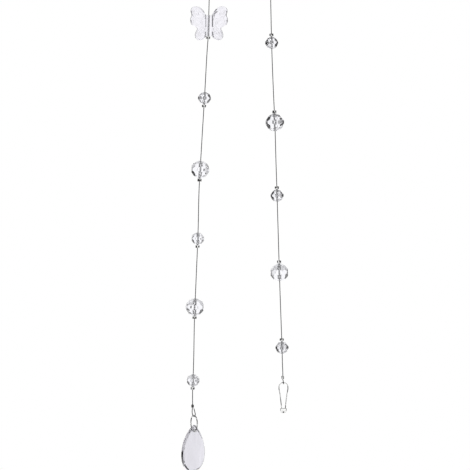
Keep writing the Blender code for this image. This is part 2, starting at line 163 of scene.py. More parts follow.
# How far the string's other loop reaches from the pin up to its crimp.
PIN_LOOP = Vector((-0.5, 0, 3.0)) * MM
PIN_WIRE = 0.35 * MM
CAP_WIDTH = 5.0 * MM
CAP_HEIGHT = 4.0 * MM
CAP_THICKNESS = 2.1 * MM
CAP_WALL = 0.4 * MM
CAP_TOP = -20.4 * MM
CAP_CORNER = 2.3 * MM
POCKET_EDGE = 0.2 * MM
PUNCH_RISE = 0.2

FLOOR_THICKNESS = 4 * MM
FLOOR_DARK = 0.86
FLOOR_LIGHT = 0.9
CARD_SOFTNESS = 12.0

# The long flats on each side of the drop's back: their tilt in degrees and their start from the middle.
Flute = namedtuple("Flute", "tilt start")
DROP_FLUTES = (Flute(6, 1.3 * MM), Flute(13, 4.2 * MM), Flute(21, 6.8 * MM))

# Half of the butterfly in millimetres from its middle, from the head round the wings to the tail.
WING_OUTLINE = (
    (1.6, 5.2), (2.9, 7.0), (5.3, 10.6), (9.0, 12.9), (13.2, 12.4), (14.7, 9.8), (14.0, 6.0), (15.1, 2.6),
    (13.8, -1.5), (11.0, -3.2), (9.6, -4.6), (10.6, -7.2), (11.3, -10.2), (10.0, -13.2), (6.8, -13.9),
    (3.8, -12.6), (1.6, -10.4),
)
# Raised loops on one wing, in millimetres like its outline.
WING_LOOPS = (
    ((3.7, 4.6), (6.2, 9.0), (9.6, 11.0), (12.6, 9.8), (12.4, 6.4), (9.6, 3.4), (6.0, 2.6)),
    ((9.2, 6.4), (10.4, 8.4), (11.4, 7.6), (10.6, 6.0)),
    ((6.4, 0.8), (10.2, 2.0), (13.0, 2.2), (12.4, -0.6), (9.4, -1.8), (6.2, -1.2)),
    ((3.8, -3.4), (7.0, -5.6), (9.2, -9.0), (8.4, -11.8), (5.4, -11.6), (3.7, -8.0)),
    ((5.4, -7.4), (6.8, -8.0), (7.2, -9.8), (5.8, -10.0)),
)

# The thick leading edge of one wing, beside the body, and the groove inside it, in millimetres too.
WING_VEIN = ((3.2, 6.2), (4.4, 8.2), (6.0, 10.4))
VEIN_GROOVE = ((2.8, 5.9), (5.9, 10.9))

# Half of the pin's wire in millimetres from the top of its bulb, down to the end inside the cap.
PIN_HALF = (
    (0, 0), (1.8, -0.4), (3.1, -1.8), (3.6, -4.2), (3.3, -6.6), (2.8, -9.2), (2.4, -12.2), (2.0, -15.6),
    (1.6, -19.4), (1.45, -20.8), (1.45, -22.2),
)

# The string's route in millimetres, x and z, from the bottom of each length up to the pole.
LEFT_LENGTH = (
    (-38.5, -466.0), (-38.5, -457.0), (-38.1, -448.0), (-37.6, -431.0), (-37.0, -400.0), (-35.7, -368.0),
    (-34.1, -329.0), (-33.3, -296.0), (-31.5, -264.0), (-28.6, -216.0), (-26.8, -184.0), (-25.8, -170.0),
    (-25.5, -155.0), (-25.1, -140.0), (-23.4, -84.0),
)
RIGHT_LENGTH = (
    (33.7, -443.6), (33.4, -436.0), (33.1, -424.0), (32.4, -404.0), (31.4, -376.0), (30.7, -354.0),
    (29.8, -324.0), (29.1, -300.0), (28.3, -276.0), (27.3, -242.0), (26.2, -218.0), (24.9, -184.0),
    (24.0, -144.0), (23.1, -84.0),
)

# A cut stone's facets: their tilt from the equator in degrees, how many, whether the row is turned half a
# facet, and their distance from the centre. Above the equator, towards the stop, the stone tapers a little
# more than below it.
Row = namedtuple("Row", "tilt count half_turn distance")
BEAD_ROWS = (
    Row(0, 8, False, 0.965),
    Row(36, 8, True, 0.94),
    Row(-30, 8, True, 0.955),
    Row(62, 8, False, 0.98),
    Row(-60, 8, False, 0.955),
    Row(90, 1, False, 1.0),
    Row(-90, 1, False, 0.94),
)

# Platings: whether they are rubbed, the noise level over which dark spots come, how many dark spots in a
# metre, and the share of the dents' depth that they show. The dark spots are partly tarnish and partly
# painted reflection, dark surroundings put into the colour.
Plating = namedtuple("Plating", "is_rubbed clean spots hammer")
PLATINGS = {
    "bright_plating": Plating(False, 0.54, 310.0, 1.0),
    "spotted_plating": Plating(False, 0.5, 190.0, 1.0),
    "rubbed_plating": Plating(True, 0.62, 310.0, 0.25),
    # Spotted nearly all over, so nearly all dark: painted shade in the pinched dents and the cap's dimples,
    # and the drop's crimps take it whole.
    "dark_spotted_plating": Plating(True, 0.3, 310.0, 1.0),
    "satin_plating": Plating(True, 0.75, 310.0, 0.1),
}
# How clear a drilled wall stays, from matt white at 0 to fully clear at 1.
DRILLED_CLEARNESS = {"drilled_bead": 0.55, "drilled_acrylic": 0.15, "drilled_drop": 0.5}


class Value:
    """A node's output. Python's operators on it add Math nodes to its tree."""

    def __init__(self, recipe, socket):
        self.recipe = recipe
        self.socket = socket

    def out(self, name):
        """Another output of the same node."""
        return Value(self.recipe, self.socket.node.outputs[name])

    def math(self, operation, *others):
        inputs = dict(enumerate((self, *others)))
        return self.recipe.node("ShaderNodeMath", {"operation": operation}, inputs)

    def clamped(self):
        return self.recipe.node("ShaderNodeClamp", inputs={"Value": self})

    def over(self, level, steepness):
        """A mask that is 0 under a level and rises to 1 above it."""
        return ((self - level) * steepness).clamped()

    def __add__(self, other):
        return self.math("ADD", other)

    def __sub__(self, other):
        return self.math("SUBTRACT", other)

    def __rsub__(self, other):
        return self.recipe.node("ShaderNodeMath", {"operation": "SUBTRACT"}, {0: other, 1: self})

    def __mul__(self, other):
        return self.math("MULTIPLY", other)

    def __abs__(self):
        return self.math("ABSOLUTE")

    __radd__ = __add__
    __rmul__ = __mul__


class Recipe:
    """The node tree of a material or a world, emptied and made anew."""

    def __init__(self, owner):
        owner.use_nodes = True
        self.tree = owner.node_tree
        self.tree.nodes.clear()

    def node(self, kind, settings=None, inputs=None, output=0):
        """Adds a node, sets it, gives its sockets their values or links, and returns one of its outputs."""
        made = self.tree.nodes.new(kind)
        for name, setting in (settings or {}).items():
            setattr(made, name, setting)
        for key, value in (inputs or {}).items():
            if isinstance(value, Value):
                self.tree.links.new(value.socket, made.inputs[key])
            else:
                made.inputs[key].default_value = value
        return Value(self, made.outputs[output]) if made.outputs else made

    def place(self):
        """The surface point in the row's own frame."""
        return self.node("ShaderNodeTexCoord", output="Object")

    def noise(self, scale, detail=2.0, where=None):
        """A soft noise round 0.5, its scale in cells a metre."""
        inputs = {"Vector": where or self.place(), "Scale": scale, "Detail": detail}
        return self.node("ShaderNodeTexNoise", inputs=inputs, output="Fac")

    def blend(self, amount, first, second):
        """A colour between two others."""
        sockets = {0: amount, 6: first, 7: second}
        return self.node("ShaderNodeMix", {"data_type": "RGBA"}, sockets, output=2)

    def bump(self, height, strength, distance):
        inputs = {"Height": height, "Strength": strength, "Distance": distance}
        return self.node("ShaderNodeBump", inputs=inputs)

    def surface(self, **sockets):
        """The main shader, with its sockets named in plain words."""
        inputs = {
            name.replace("_", " ").title().replace("Ior", "IOR"): value for name, value in sockets.items()
        }
        shader = self.node("ShaderNodeBsdfPrincipled", inputs=inputs)
        self.node("ShaderNodeOutputMaterial", inputs={"Surface": shader})


def shade(colour, factor=1.0):
    """A colour as a socket takes it."""
    return (*(factor * part for part in colour), 1.0)


def new_recipe(name):
    material = bpy.data.materials.new(name)
    return material, Recipe(material)


def cut_glass(settings):
    """Clear polished glass with a faint cool cloud and faint wipe marks."""
    material, recipe = new_recipe("cut_glass")
    cloud = recipe.noise(scale=260.0)
    wiped = recipe.noise(scale=900.0, detail=3.0)
    recipe.surface(
        base_color=recipe.blend(cloud, shade(settings.tint), shade(settings.tint, factor=0.97)),
        roughness=0.02 * wiped,
        ior=settings.ior,
        transmission_weight=1.0,
    )
    return material


def drilled(name, ior):
    """Glass or acrylic where a drill has left it matt and more or less white."""
    material, recipe = new_recipe(name)
    cloud = recipe.noise(scale=900.0)
    recipe.surface(
        base_color=shade(WHITE),
        roughness=0.45 + 0.3 * cloud,
        ior=ior,
        transmission_weight=DRILLED_CLEARNESS[name],
    )
    return material


def drop_glass(settings):
    """Clear glass with a cool tint that comes and goes in soft upright bands."""
    material, recipe = new_recipe("pendant_glass")
    turned = recipe.node(
        "ShaderNodeMapping",
        inputs={"Vector": recipe.place(), "Rotation": (0, 0, -PENDANT_TURN), "Scale": (1.0, 1.0, 0.12)},
    )
    bands = recipe.noise(scale=420.0, where=turned).over(level=0.35, steepness=3.0)
    wiped = recipe.noise(scale=700.0, detail=3.0)
    light = shade(settings.tint, factor=1.03)
    dark = shade(settings.tint, factor=0.93)
    recipe.surface(
        base_color=recipe.blend(bands, light, dark),
        roughness=0.02 * wiped,
        ior=settings.ior,
        transmission_weight=1.0,
    )
    return material


def moulded_acrylic(settings):
    """Clear moulded acrylic with a faint cool tint, flow marks and a skin that isn't quite even."""
    material, recipe = new_recipe("moulded_acrylic")
    skin = recipe.noise(scale=600.0, detail=3.0)
    cells = recipe.node(
        "ShaderNodeTexVoronoi", {"feature": "SMOOTH_F1"}, {"Vector": recipe.place(), "Scale": settings.flow}
    )
    mark = 0.42
    marks = (abs(cells - mark) * 5.0).clamped()
    recipe.surface(
        base_color=recipe.blend(marks, shade(settings.tint, factor=0.9), shade(settings.tint)),
        roughness=0.02 + 0.06 * skin,
        ior=settings.ior,
        transmission_weight=1.0,
        normal=recipe.bump(skin, strength=0.3, distance=0.05 * MM),
    )
    return material


def plated_metal(name, settings):
    """One of the platings on uneven metal, with fine rubbed patches and dark spots that are partly tarnish
    and partly painted reflection.
    """
    plating = PLATINGS[name]
    material, recipe = new_recipe(name)
    rubbed = recipe.noise(scale=1500.0, detail=4.0)
    uneven = recipe.noise(scale=settings.unevenness, detail=1.0)
    # Dark spots in the colour: partly tarnish, partly painted reflection standing in for dark surroundings.
    tarnish_and_dark_reflection = recipe.noise(scale=plating.spots, detail=1.0).over(plating.clean, steepness=12.0)
    roughness = settings.rubbed if plating.is_rubbed else settings.roughness
    recipe.surface(
        base_color=recipe.blend(tarnish_and_dark_reflection, shade(settings.colour), shade(settings.colour, settings.tarnish_and_dark_reflection)),
        metallic=1.0,
        roughness=roughness + 0.1 * rubbed,
        normal=recipe.bump(uneven, strength=1.0, distance=plating.hammer * settings.hammer),
    )
    return material


def coated_string(settings):
    """Grey coated beading wire, a little glossy, with the coating rubbed lighter in places."""
    material, recipe = new_recipe("coated_string")
    rubbed = recipe.noise(scale=800.0, detail=3.0)
    along = recipe.noise(scale=90.0)
    dark = shade(settings.colour, factor=0.85)
    light = shade(settings.colour, factor=1.15)
    recipe.surface(
        base_color=recipe.blend(along, dark, light),
        roughness=0.35 + 0.25 * rubbed,
        specular_ior_level=0.12,
    )
    return material


def select_only(obj):
    if bpy.context.mode != "OBJECT":
        bpy.ops.object.mode_set(mode="OBJECT")
    bpy.ops.object.select_all(action="DESELECT")
    obj.select_set(True)
    bpy.context.view_layer.objects.active = obj
    return obj


def start(add, **settings):
    """Adds a primitive with nothing else selected, and returns it."""
    bpy.ops.object.select_all(action="DESELECT")
    add(**settings)
    return bpy.context.active_object


def modify(obj, kind, **settings):
    """Adds a modifier, sets it and applies it."""
    select_only(obj)
    modifier = obj.modifiers.new(kind.title(), kind)
    for name, setting in settings.items():
        setattr(modifier, name, setting)
    bpy.ops.object.modifier_apply(modifier=modifier.name)
    return obj


def soften(obj, width, segments, angle=30):
    """Bevels the edges that are sharper than an angle in degrees."""
    limit = math.radians(angle)
    return modify(obj, "BEVEL", width=width, segments=segments, limit_method="ANGLE", angle_limit=limit)


def cut_away(obj, cutter, material=None):
    """Cuts one object with another, whose material the cut takes if it is given, and removes the second."""
    if material:
        cutter.data.materials.append(material)
    mode = "TRANSFER" if material else "INDEX"
    modify(obj, "BOOLEAN", operation="DIFFERENCE", object=cutter, material_mode=mode)
    bpy.data.objects.remove(cutter, do_unlink=True)
    return obj


def settle(obj, matrix=None):
    """Puts an object's place, and one more turn and move if given, into its mesh."""
    obj.data.transform((matrix or Matrix.Identity(4)) @ obj.matrix_basis)
    obj.matrix_basis = Matrix.Identity(4)
    obj.data.update()
    return obj


def copy_of(obj):
    twin = obj.copy()
    twin.data = obj.data.copy()
    bpy.context.scene.collection.objects.link(twin)
    return twin


def present(obj, name, material, slot, *nodes):
    """Names a finished piece, gives it its material, and lets it stand for its solids."""
    obj.name = name
    obj.data.name = name
    if not obj.data.materials:
        obj.data.materials.append(material)
    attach(obj, BODY)
    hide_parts(*nodes)


def nodes_named(start_of_name):
    return sorted(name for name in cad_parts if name.startswith(start_of_name))


def centre_of(node):
    low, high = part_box(node)
    return (low + high) / 2


def top_of(node):
    """The highest middle point of a solid that hangs in the string's plane."""
    return Vector((centre_of(node).x, 0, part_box(node)[1].z))


def smooth_route(points, step):
    """Points of one smooth curve through the given ones, at most a step apart."""
    spans = [(b - a).length for a, b in zip(points, points[1:])]
    tangents = [(points[1] - points[0]) / spans[0]]
    for i in range(1, len(points) - 1):
        before = (points[i] - points[i - 1]) / spans[i - 1]
        after = (points[i + 1] - points[i]) / spans[i]
        tangents.append((before * spans[i] + after * spans[i - 1]) / (spans[i - 1] + spans[i]))
    tangents.append((points[-1] - points[-2]) / spans[-1])
    route = []
    for i, span in enumerate(spans):
        count = max(1, math.ceil(span / step))
        for k in range(count):
            t = k / count
            route.append(
                points[i] * (2 * t**3 - 3 * t**2 + 1)
                + tangents[i] * span * (t**3 - 2 * t**2 + t)
                + points[i + 1] * (3 * t**2 - 2 * t**3)
                + tangents[i + 1] * span * (t**3 - t**2)
            )
    return route + [points[-1]]


def loop_round(centre, across, reach, wire_radius, string_radius):
    """The string's end loop, from its cut tail under the crimp round a wire and back up to that crimp."""
    height = reach.length
    turn = wire_radius + GAP + string_radius
    tail_side = 2 * string_radius + 0.5 * GAP
    shoulder = LOOP_SHOULDER * height
    flat = [(tail_side, height - GAP - string_radius), (LOOP_BULGE * turn, shoulder)]
    flat += [
        (turn * math.cos(angle), -turn * math.sin(angle))
        for angle in (math.pi * k / LOOP_STEPS for k in range(LOOP_STEPS + 1))
    ]
    flat += [(-LOOP_BULGE * turn, shoulder), (0, height + LOOP_END * CRIMP_LENGTH)]
    return [centre + across * side + reach.normalized() * rise for side, rise in flat]


def string_points(radius):
    """The string's own points, from the ring up over the pole and down to the pin."""
    ring_top = top_of("ring") - Vector((0, 0, RING_WIRE))
    pin_top = top_of("pin_wire") - Vector((0, 0, PIN_WIRE))
    pendant_across = Vector((math.cos(PENDANT_TURN), math.sin(PENDANT_TURN), 0))
    turn = POLE_RADIUS + radius
    arch = [
        Vector((-turn * math.cos(angle), 0, turn * math.sin(angle) - POLE_RADIUS))
        for angle in (math.pi * k / ARCH_STEPS for k in range(ARCH_STEPS + 1))
    ]
    return (
        loop_round(ring_top, pendant_across, PENDANT_LOOP, RING_WIRE, radius)
        + [Vector((x, 0, z)) * MM for x, z in LEFT_LENGTH]
        + arch
        + [Vector((x, 0, z)) * MM for x, z in reversed(RIGHT_LENGTH)]
        + loop_round(pin_top, Vector((0, 1, 0)), PIN_LOOP, PIN_WIRE, radius)[::-1]
    )


def threading_route(context):
    """The route that pieces are threaded on, at the string's own thickness."""
    radius = context.scene.bead_curtain.string.thickness / 2
    return smooth_route(string_points(radius), THREAD_STEP)


def on_string(route, side, height):
    """Where a length of the string crosses a height, and its direction there, upwards."""
    for a, b in zip(route, route[1:]):
        if side * a.x > 0 and min(a.z, b.z) <= height < max(a.z, b.z):
            upward = (b - a).normalized() * (1 if b.z > a.z else -1)
            return a.lerp(b, (height - a.z) / (b.z - a.z)), upward
    raise ValueError(f"the string has no point at {height} on side {side}")


def strung(route, node, spin):
    """The turn and move that put a piece made round +Z at the origin where its solid is on the string.

    The pieces were threaded one way, so on the left length they hang with their +Z end down.
    """
    middle = centre_of(node)
    spot, upward = on_string(route, math.copysign(1, middle.x), middle.z)
    turn = Vector((0, 0, 1)).rotation_difference(upward).to_matrix().to_4x4()
    over = Matrix.Rotation(math.pi if middle.x < 0 else 0.0, 4, "Y")
    return Matrix.Translation(spot) @ turn @ over @ Matrix.Rotation(spin, 4, "Z")


def tube(name, points, radius, section=None, twist=0.0):
    """A wire along a route, round or with its own section, which turns by a twist at each point."""
    curve = bpy.data.curves.new(name, "CURVE")
    curve.dimensions = "3D"
    curve.use_fill_caps = True
    if section:
        curve.bevel_mode = "OBJECT"
        curve.bevel_object = section
    else:
        curve.bevel_depth = radius
        curve.bevel_resolution = ROUND_STEPS
    spline = curve.splines.new("POLY")
    spline.points.add(len(points) - 1)
    for number, (target, point) in enumerate(zip(spline.points, points)):
        target.co = (*point, 1)
        target.tilt = number * twist % (2 * math.pi)
    wire = meshed(name, curve)
    modify(wire, "WELD", merge_threshold=FINE_MERGE)
    wire.data.shade_smooth()
    return wire


def rounded_outline(name, points, steps, depth):
    """A closed smooth curve through (x, z) points in millimetres, thickened round by a depth."""
    curve = bpy.data.curves.new(name, "CURVE")
    curve.bevel_depth = depth
    curve.bevel_resolution = ROUND_STEPS
    curve.resolution_u = steps
    spline = curve.splines.new("BEZIER")
    spline.use_cyclic_u = True
    spline.bezier_points.add(len(points) - 1)
    for target, (x, z) in zip(spline.bezier_points, points):
        target.co = (x * MM, z * MM, 0)
        target.handle_left_type = target.handle_right_type = "AUTO"
    return curve


def meshed(name, curve):
    """A curve as a mesh object."""
    obj = bpy.data.objects.new(name, curve)
    bpy.context.scene.collection.objects.link(obj)
    select_only(obj)
    bpy.ops.object.convert(target="MESH")
    return bpy.context.active_object


def lathe(profile, sides):
    """A shape drawn out of a circle, ring by ring through (radius, height) pairs, to where it began."""
    (radius, height), *others = profile
    obj = start(
        bpy.ops.mesh.primitive_circle_add, vertices=sides, radius=radius, location=(0, 0, height)
    )
    bpy.ops.object.mode_set(mode="EDIT")
    bpy.ops.mesh.select_all(action="SELECT")
    for next_radius, next_height in others:
        bpy.ops.mesh.extrude_region_move(TRANSFORM_OT_translate={"value": (0, 0, next_height - height)})
        factor = next_radius / radius
        bpy.ops.transform.resize(value=(factor, factor, 1), center_override=(0, 0, next_height))
        radius, height = next_radius, next_height
    bpy.ops.mesh.select_all(action="SELECT")
    bpy.ops.mesh.remove_doubles(threshold=FINE_MERGE)
    bpy.ops.mesh.normals_make_consistent(inside=False)
    bpy.ops.object.mode_set(mode="OBJECT")
    return settle(obj)


def smooth_below(obj, angle):
    """Smooth shading with edges sharper than an angle in degrees kept."""
    select_only(obj)
    bpy.ops.object.shade_smooth_by_angle(angle=math.radians(angle))
    return obj


def crimp(radius, length, metal, dent_painted_dark):
    """A short barrel with rolled shoulders, pressed a little flat and pinched by a blunt point."""
    half = length / 2
    roll = SLEEVE_ROLL * (radius - SLEEVE_BORE)
    lip = SLEEVE_LIP * roll
    quarter = [math.pi * k / (2 * ROLL_STEPS) for k in range(ROLL_STEPS + 1)]
    arc = [(roll * math.sin(angle), roll * math.cos(angle)) for angle in quarter]
    side = [(radius - roll + x, half - roll + z) for x, z in arc]
    profile = [(SLEEVE_BORE, half - lip), (SLEEVE_BORE + lip, half)] + side
    profile += [(x, -z) for x, z in reversed(profile)] + [(SLEEVE_BORE, half - lip)]
    barrel = lathe(profile, FINE_SIDES)
    barrel.data.materials.append(metal)
    jaw = start(
        bpy.ops.mesh.primitive_cone_add,
        vertices=PLAIN_SIDES,
        radius1=JAW_WIDTH * radius,
        depth=JAW_REACH * radius,
        location=(0, -radius, JAW_RISE * length),
        rotation=(-math.pi / 2, 0, 0),
    )
    # The dent takes the nearly dark plating given for it: painted shade in the pinch.
    cut_away(barrel, jaw, dent_painted_dark)
    barrel.data.transform(Matrix.Diagonal(SLEEVE_PRESS))
    soften(barrel, SLEEVE_EDGE, segments=2, angle=35)
    return smooth_below(barrel, 50)


def row_planes(rows):
    """The plane of each facet of a cut stone."""
    for row in rows:
        tilt = math.radians(row.tilt)
        for k in range(row.count):
            angle = 2 * math.pi * (k + 0.5 * row.half_turn) / row.count
            level = math.cos(tilt)
            yield Vector((level * math.cos(angle), level * math.sin(angle), math.sin(tilt))), row.distance


def grind(obj, planes):
    """Grinds a flat on a blank for each plane, given by its normal and its distance from the centre."""
    select_only(obj)
    bpy.ops.object.mode_set(mode="EDIT")
    for normal, distance in planes:
        bpy.ops.mesh.select_all(action="SELECT")
        bpy.ops.mesh.bisect(
            plane_co=normal * distance,
            plane_no=normal,
            use_fill=True,
            clear_outer=True,
            threshold=FINE_CUT,
        )
    bpy.ops.object.mode_set(mode="OBJECT")
    return obj


def cut_stone(diameter, settings, glass, matt):
    """One cut and drilled bead, upright at the origin."""
    stone = start(bpy.ops.mesh.primitive_cube_add, size=BEAD_BLANK)
    grind(stone, row_planes(BEAD_ROWS))
    widest = max(vert.co.xy.length for vert in stone.data.vertices)
    stone.data.transform(Matrix.Scale(diameter / 2 / widest, 4))
    ends = [vert.co.z for vert in stone.data.vertices]
    stone.data.transform(Matrix.Translation((0, 0, -(min(ends) + max(ends)) / 2)))
    soften(stone, settings.edge, segments=1, angle=8)
    top = max(vert.co.z for vert in stone.data.vertices)
    bore = start(
        bpy.ops.mesh.primitive_cylinder_add,
        vertices=PLAIN_SIDES,
        radius=settings.bore / 2,
        depth=2 * top + DRILL_ROOM,
    )
    stone.data.materials.append(glass)
    return cut_away(stone, bore, matt)


def upright(obj, middle):
    """Turns a piece drawn flat in XY to stand in XZ, and moves it to its middle."""
    return settle(obj, Matrix.Translation(middle) @ Matrix.Rotation(math.pi / 2, 4, "X"))


def cut_groove(obj, low, high, width):
    """Cuts a V groove from one point of the wings' plane to another, on both of their faces."""
    along = high - low
    for face in (-1, 1):
        blade = start(
            bpy.ops.mesh.primitive_cube_add,
            size=1,
            scale=(width, along.length, width),
            location=(*((low + high) / 2), face * WING_THICKNESS / 2),
            rotation=(0, math.pi / 4, -math.atan2(along.x, along.y)),
        )
        cut_away(obj, blade)


def moulded_butterfly(settings, middle, acrylic):
    """Wings with round edges and raised loops on a straight body, melted into one piece and drilled."""
    outline = list(WING_OUTLINE) + [(-x, z) for x, z in reversed(WING_OUTLINE)]
    flat = rounded_outline("wings", outline, WING_STEPS, WING_ROUNDING)
    flat.dimensions = "2D"
    flat.fill_mode = "BOTH"
    flat.extrude = WING_THICKNESS / 2 - WING_ROUNDING
    flat.offset = -WING_ROUNDING
    wings = meshed("wings", flat)
    for side, width in ((-1, settings.left_groove), (1, settings.right_groove)):
        x = side * (BODY_WIDTH + width) / 2
        cut_groove(wings, Vector((x, -BODY_LENGTH)), Vector((x, BODY_LENGTH)), width)
    vein = [Vector((x, z, 0)) * MM for x, z in WING_VEIN]
    parts = [wings, tube("vein", vein, settings.vein)]
    lift = WING_THICKNESS / 2 - settings.sink * settings.rib
    for loop in WING_LOOPS:
        for way in (-1, 1):
            points = [(way * x, z) for x, z in loop]
            for face in (-1, 1):
                rib = meshed("rib", rounded_outline("rib", points, RIB_STEPS, settings.rib))
                rib.data.transform(Matrix.Translation((0, 0, face * lift)))
                parts.append(rib)
    body = start(bpy.ops.mesh.primitive_cube_add, size=1, scale=(BODY_WIDTH, BODY_LENGTH, BODY_DEPTH))
    settle(body, Matrix.Translation((0, -BODY_DROP, 0)))
    soften(body, settings.body_edge, segments=6)
    parts.append(body)
    bpy.ops.object.select_all(action="DESELECT")
    for part in parts:
        part.select_set(True)
    bpy.context.view_layer.objects.active = parts[0]
    bpy.ops.object.join()
    piece = parts[0]
    modify(piece, "REMESH", mode="VOXEL", voxel_size=settings.grain)
    modify(piece, "SMOOTH", factor=0.5, iterations=settings.melt)
    cut_groove(piece, *(Vector(point) * MM for point in VEIN_GROOVE), settings.edge_groove)
    bore = start(
        bpy.ops.mesh.primitive_cylinder_add,
        vertices=FINE_SIDES,
        radius=BODY_BORE,
        depth=2 * BODY_LENGTH,
        location=(BORE_SIDE, -BODY_DROP, 0),
        rotation=(math.pi / 2, 0, -BODY_BORE_LEAN),
    )
    piece.data.materials.append(acrylic)
    cut_away(piece, bore, drilled("drilled_acrylic", settings.ior))
    return smooth_below(upright(piece, middle), 40)


def drop_outline(t):
    """A point of the pear shape, from the tip at 0 round to the tip at 2 pi, before it gets its width."""
    return Vector((math.sin(t) * abs(math.sin(t / 2)) ** DROP_TAPER, 0, DROP_HEIGHT / 2 * math.cos(t)))


def flute_planes():
    """The long flats of the drop's back, each starting where the one before it ends."""
    height = DROP_THICKNESS / 2
    last = Flute(0, 0)
    for flute in DROP_FLUTES:
        height -= (flute.start - last.start) * math.tan(math.radians(last.tilt))
        last = flute
        for side in (-1, 1):
            angle = math.radians(side * flute.tilt)
            normal = Vector((math.sin(angle), math.cos(angle), 0))
            yield normal, normal.dot(Vector((side * flute.start, height, 0)))


def rim_planes(outline):
    """The ground bevel on both sides of each stretch of the drop's outline."""
    for number, (a, b) in enumerate(zip(outline, outline[1:] + outline[:1])):
        bevel = DROP_BEVEL_ANGLES[number % 2]
        edge = (b - a).normalized()
        outward = Vector((-edge.z, 0, edge.x))
        if outward.dot(a) < 0:
            outward.negate()
        for side in (-1, 1):
            normal = outward * math.sin(bevel) + Vector((0, side * math.cos(bevel), 0))
            yield normal, normal.dot(a + Vector((0, side * DROP_RIM / 2, 0)))


def ground_drop(settings, hanger, glass):
    """A pear-shaped slab of glass with a ground rim, a fluted back and a drilled tip."""
    outline = [drop_outline(2 * math.pi * (k + 0.5) / DROP_SIDES) for k in range(DROP_SIDES)]
    fullest = max(point.x for point in outline)
    for point in outline:
        point.x *= DROP_WIDTH / 2 / fullest
    slab = start(bpy.ops.mesh.primitive_circle_add, vertices=DROP_SIDES, fill_type="NGON")
    for vert, point in zip(slab.data.vertices, outline):
        vert.co = point + Vector((0, DROP_THICKNESS / 2, 0))
    bpy.ops.object.mode_set(mode="EDIT")
    bpy.ops.mesh.select_all(action="SELECT")
    bpy.ops.mesh.extrude_region_move(TRANSFORM_OT_translate={"value": (0, -DROP_THICKNESS, 0)})
    bpy.ops.mesh.select_all(action="SELECT")
    bpy.ops.mesh.normals_make_consistent(inside=False)
    bpy.ops.object.mode_set(mode="OBJECT")
    grind(slab, [*rim_planes(outline), *flute_planes()])
    modify(slab, "WELD", merge_threshold=FINE_MERGE)
    soften(slab, settings.edge, segments=1, angle=4)
    settle(slab, Matrix.Translation((0, 0, DROP_HOLE_RISE + DROP_TIP_ABOVE_HOLE - DROP_HEIGHT / 2)))
    slab.data.materials.append(glass)
    matt = drilled("drilled_drop", settings.ior)
    mouth_radius = DROP_HOLE_RADIUS + settings.mouth
    mouth_at = DROP_THICKNESS / 2 - settings.mouth / 2 + MOUTH_PAST_FACE
    for radius, depth, way in (
        (DROP_HOLE_RADIUS, 2 * DROP_THICKNESS, 0),
        (mouth_radius, settings.mouth, -1),
        (mouth_radius, settings.mouth, 1),
    ):
        drill = start(
            bpy.ops.mesh.primitive_cone_add,
            vertices=FINE_SIDES,
            radius1=radius,
            radius2=DROP_HOLE_RADIUS,
            depth=depth,
            location=(0, way * mouth_at, DROP_HOLE_RISE),
            rotation=(math.pi / 2 * (way or 1), 0, 0),
        )
        cut_away(slab, drill, matt)
    lean = Matrix.Rotation(PENDANT_LEAN, 4, "Y") @ Matrix.Rotation(PENDANT_TURN, 4, "Z")
    return settle(slab, Matrix.Translation(hanger) @ lean)


def jump_ring(middle):
    """A round wire ring, sawn through once."""
    ring = start(
        bpy.ops.mesh.primitive_torus_add,
        major_segments=96,
        minor_segments=16,
        major_radius=RING_RADIUS,
        minor_radius=RING_WIRE,
    )
    away = Vector((-math.sin(RING_SLIT_AT), -math.cos(RING_SLIT_AT), 0))
    blade = 4 * RING_WIRE
    saw = start(
        bpy.ops.mesh.primitive_cube_add,
        size=1,
        scale=(RING_SLIT, blade, blade),
        location=away * RING_RADIUS,
        rotation=(0, 0, -RING_SLIT_AT),
    )
    cut_away(ring, saw)
    turn = Matrix.Rotation(PENDANT_TURN, 4, "Z") @ Matrix.Rotation(math.pi / 2, 4, "Y")
    settle(ring, Matrix.Translation(middle) @ turn)
    return smooth_below(ring, 40)


def pressed_cap(settings, top, metal, dent_painted_dark):
    """The pin's flat cap with round lower corners, folded edges, an open top and a dent on both faces."""
    cap = start(bpy.ops.mesh.primitive_cube_add, size=1, scale=(CAP_WIDTH, CAP_THICKNESS, CAP_HEIGHT))
    settle(cap)
    select_only(cap)
    bpy.ops.object.mode_set(mode="EDIT")
    bpy.ops.mesh.select_mode(type="EDGE")
    bpy.ops.mesh.select_all(action="DESELECT")
    bpy.ops.object.mode_set(mode="OBJECT")
    for edge in cap.data.edges:
        a, b = (cap.data.vertices[index].co for index in edge.vertices)
        edge.select = a.z < 0 and b.z < 0 and a.x == b.x
    bpy.ops.object.mode_set(mode="EDIT")
    bpy.ops.mesh.bevel(offset=CAP_CORNER, segments=10, affect="EDGES")
    bpy.ops.object.mode_set(mode="OBJECT")
    soften(cap, settings.cap_edge, segments=5, angle=40)
    cap.data.materials.append(metal)
    pocket = start(
        bpy.ops.mesh.primitive_cube_add,
        size=1,
        scale=(CAP_WIDTH - 2 * CAP_WALL, CAP_THICKNESS - 2 * CAP_WALL, CAP_HEIGHT),
    )
    depth = abs(PIN_HALF[-1][1] * MM - CAP_TOP) + GAP
    settle(pocket, Matrix.Translation((0, 0, CAP_HEIGHT - depth)))
    soften(pocket, POCKET_EDGE, segments=3)
    cut_away(cap, pocket)
    for face in (-1, 1):
        punch = start(
            bpy.ops.mesh.primitive_cone_add,
            vertices=PLAIN_SIDES,
            radius1=2 * settings.dimple,
            depth=settings.dimple,
            location=(0, face * CAP_THICKNESS / 2, PUNCH_RISE * CAP_HEIGHT - CAP_HEIGHT / 2),
            rotation=(face * math.pi / 2, 0, 0),
        )
        # The dents take the nearly dark plating given for them: painted shade in each dent.
        cut_away(cap, punch, dent_painted_dark)
    settle(cap, Matrix.Translation(top + Vector((0, 0, CAP_TOP - CAP_HEIGHT / 2))))
    return smooth_below(cap, 35)


